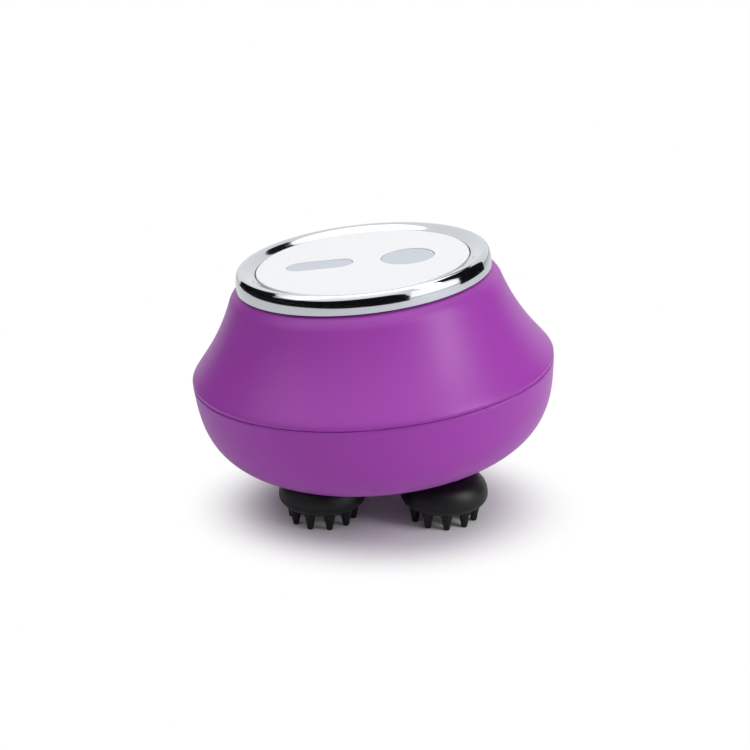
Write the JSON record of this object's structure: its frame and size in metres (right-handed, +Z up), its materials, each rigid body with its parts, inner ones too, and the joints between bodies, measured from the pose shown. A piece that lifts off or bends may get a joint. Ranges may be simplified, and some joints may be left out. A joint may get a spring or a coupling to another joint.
{
  "type": "electric scalp massager",
  "caption": "Hand-held domed scalp massager with rubber-fingered kneading heads turning under a purple waisted shell, with two press keys in a chrome-ringed top panel.",
  "frame": {"origin": "on the table plane under the middle of the shell, at the bottom centre of the bounding box", "axes": "+Z up from the finger tips to the top panel; -Y toward the user's front, the side seen in the usual view; the shell leans toward -X"},
  "size_m": [0.1048, 0.105, 0.0772],
  "materials": {
    "shell_purple": "satin purple soft-touch ABS",
    "chrome_ring": "polished chromed ABS",
    "panel_white": "smooth white",
    "key_grey": "pale bluish grey, matt",
    "silicone_black": "matt black silicone",
    "seal_grey": "dark grey silicone",
    "carrier_black": "moulded black nylon",
    "frame_grey": "moulded grey ABS",
    "gear_white": "natural acetal",
    "steel": "bright zinc or ground steel",
    "bush_bronze": "sintered bronze",
    "contact_brass": "plated contact metal",
    "board_green": "solder-masked glass epoxy",
    "chip_black": "moulded black",
    "cell_blue": "blue shrink sleeve over the can"
  },
  "bodies": {
    "housing": {"lower_shell": "shell_purple", "upper_shell": "shell_purple", "seam_gasket": "seal_grey", "bezel_ring": "chrome_ring", "top_panel": "panel_white", "panel_gasket": "seal_grey", "control_board": "board_green", "control_board_parts": "chip_black", "power_switch_body": "chip_black", "mode_switch_body": "chip_black", "control_board_screws": "steel", "ring_screws": "steel", "closure_screws": "steel", "charge_contacts": "contact_brass", "gear_plate": "frame_grey", "gearbox_cover": "frame_grey", "frame_screws": "steel", "lower_bushes": "bush_bronze", "upper_bushes": "bush_bronze", "shaft_seals": "silicone_black", "gearbox_housing": "steel", "motor_can": "steel", "motor_end_cap": "frame_grey", "gearmotor_screws": "steel", "battery_cradle": "frame_grey", "battery_cell": "cell_blue", "cradle_screws": "steel", "main_board": "board_green", "main_board_parts": "chip_black", "main_board_screws": "steel"},
    "power_key": {"power_button": "key_grey", "power_switch_plunger": "frame_grey"},
    "mode_key": {"mode_button": "key_grey", "mode_switch_plunger": "frame_grey"},
    "drive": {"drive_gear": "gear_white", "output_shaft": "steel"},
    "front_left_head": {"front_left_cap": "silicone_black", "front_left_carrier": "carrier_black", "front_left_shaft": "steel", "front_left_gear": "gear_white", "front_left_screw": "steel"},
    "front_right_head": {"front_right_cap": "silicone_black", "front_right_carrier": "carrier_black", "front_right_shaft": "steel", "front_right_gear": "gear_white", "front_right_screw": "steel"},
    "rear_left_head": {"rear_left_cap": "silicone_black", "rear_left_carrier": "carrier_black", "rear_left_shaft": "steel", "rear_left_gear": "gear_white", "rear_left_screw": "steel"},
    "rear_right_head": {"rear_right_cap": "silicone_black", "rear_right_carrier": "carrier_black", "rear_right_shaft": "steel", "rear_right_gear": "gear_white", "rear_right_screw": "steel"}
  },
  "joints": [
    {"name": "power_button_press", "type": "slide", "parent": "housing", "child": "power_key", "axis": [0.1045, 0, -0.9945], "range_m": [0, 0.0006], "stiffness_N_per_m": 800, "springref_m": -0.0005},
    {"name": "mode_button_press", "type": "slide", "parent": "housing", "child": "mode_key", "axis": [0.1045, 0, -0.9945], "range_m": [0, 0.0006], "stiffness_N_per_m": 800, "springref_m": -0.0005},
    {"name": "front_left_head_spin", "type": "hinge", "parent": "housing", "child": "front_left_head", "pos_m": [-0.0145, -0.0175, 0.027], "axis": [0, 0, 1], "continuous": true},
    {"name": "front_right_head_spin", "type": "hinge", "parent": "housing", "child": "front_right_head", "pos_m": [0.0205, -0.0175, 0.027], "axis": [0, 0, 1], "continuous": true},
    {"name": "rear_left_head_spin", "type": "hinge", "parent": "housing", "child": "rear_left_head", "pos_m": [-0.0145, 0.0175, 0.027], "axis": [0, 0, 1], "continuous": true},
    {"name": "rear_right_head_spin", "type": "hinge", "parent": "housing", "child": "rear_right_head", "pos_m": [0.0205, 0.0175, 0.027], "axis": [0, 0, 1], "continuous": true},
    {"name": "drive_gear_spin", "type": "hinge", "parent": "housing", "child": "drive", "pos_m": [0.003, 0, 0.027], "axis": [0, 0, 1], "continuous": true}
  ],
  "couplings": [
    {"joint": "front_right_head_spin", "follows": "front_left_head_spin", "ratio": 1},
    {"joint": "rear_left_head_spin", "follows": "front_left_head_spin", "ratio": 1},
    {"joint": "rear_right_head_spin", "follows": "front_left_head_spin", "ratio": 1},
    {"joint": "drive_gear_spin", "follows": "front_left_head_spin", "ratio": -1.5385}
  ]
}
